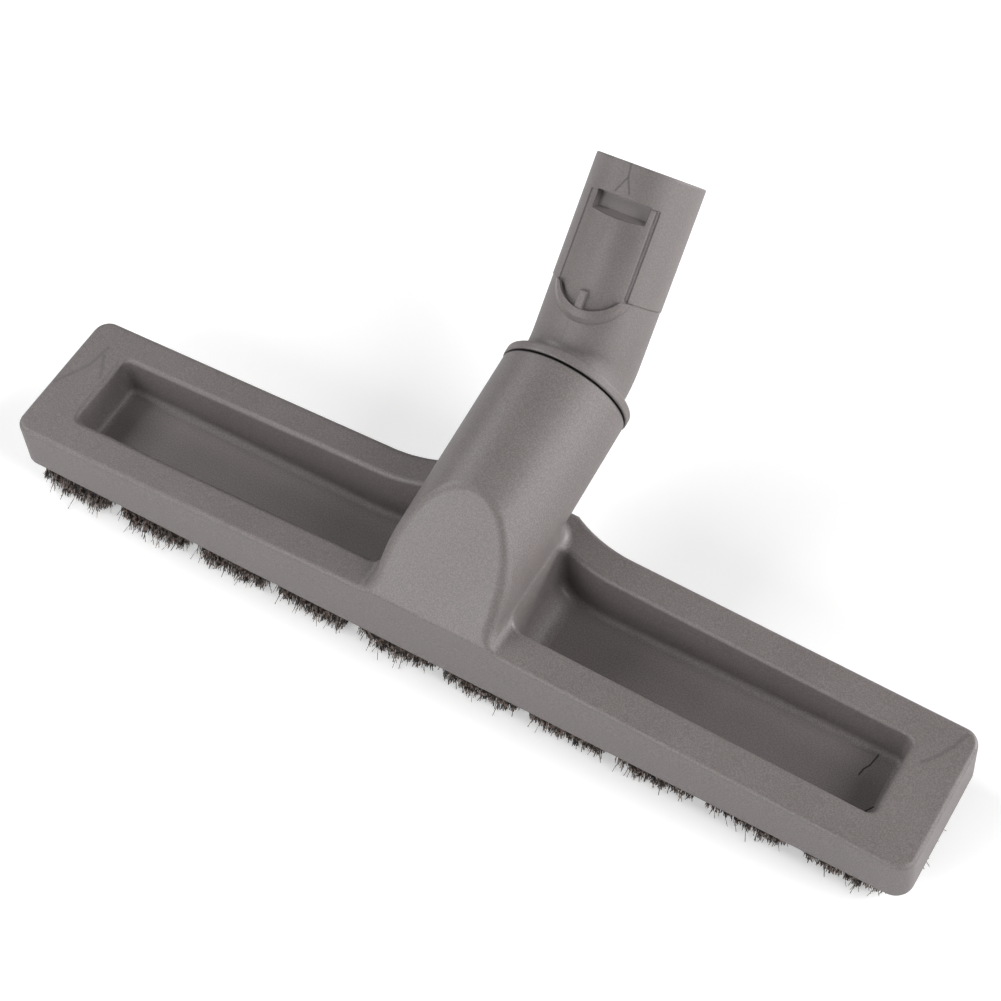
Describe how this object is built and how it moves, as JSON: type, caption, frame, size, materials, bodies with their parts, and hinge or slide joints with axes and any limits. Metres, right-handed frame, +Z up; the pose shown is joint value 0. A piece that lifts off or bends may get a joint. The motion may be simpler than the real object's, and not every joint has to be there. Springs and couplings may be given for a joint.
{
  "type": "vacuum floor brush head",
  "caption": "Long, flat floor brush head for a vacuum cleaner, with bristles under its rim, a tray recess on either side, a sloping neck and a swivelling elbow with a tube spigot.",
  "frame": {"origin": "on the floor at the bristles' feet, in plan the middle of the whole part's bounding box", "axes": "+X along the head's length, +Y back towards the tube, +Z up"},
  "size_m": [0.31, 0.1508, 0.1018],
  "materials": {
    "housing_plastic": "satin",
    "elbow_plastic": "satin",
    "sole_plastic": "satin",
    "ring_plastic": "satin",
    "hair": "matte",
    "screw_steel": "satin"
  },
  "bodies": {
    "head": {"upper_housing": "housing_plastic", "sole_plate": "sole_plastic", "sole_screws": "screw_steel", "front_bristles_1": "hair", "front_bristles_2": "hair", "front_bristles_3": "hair", "front_bristles_4": "hair", "front_bristles_5": "hair", "front_bristles_6": "hair", "front_bristles_7": "hair", "front_bristles_8": "hair", "front_bristles_9": "hair", "front_bristles_10": "hair", "rear_bristles_1": "hair", "rear_bristles_2": "hair", "rear_bristles_3": "hair", "rear_bristles_4": "hair", "rear_bristles_5": "hair", "rear_bristles_6": "hair", "rear_bristles_7": "hair", "left_bristles": "hair", "right_bristles": "hair", "retaining_ring": "ring_plastic"},
    "elbow": {"swivel_elbow": "elbow_plastic"}
  },
  "joints": [
    {"name": "elbow_swivel", "type": "hinge", "parent": "head", "child": "elbow", "pos_m": [0, 0.00559, 0.049], "axis": [0, 0.988, 0.1547], "continuous": true}
  ]
}
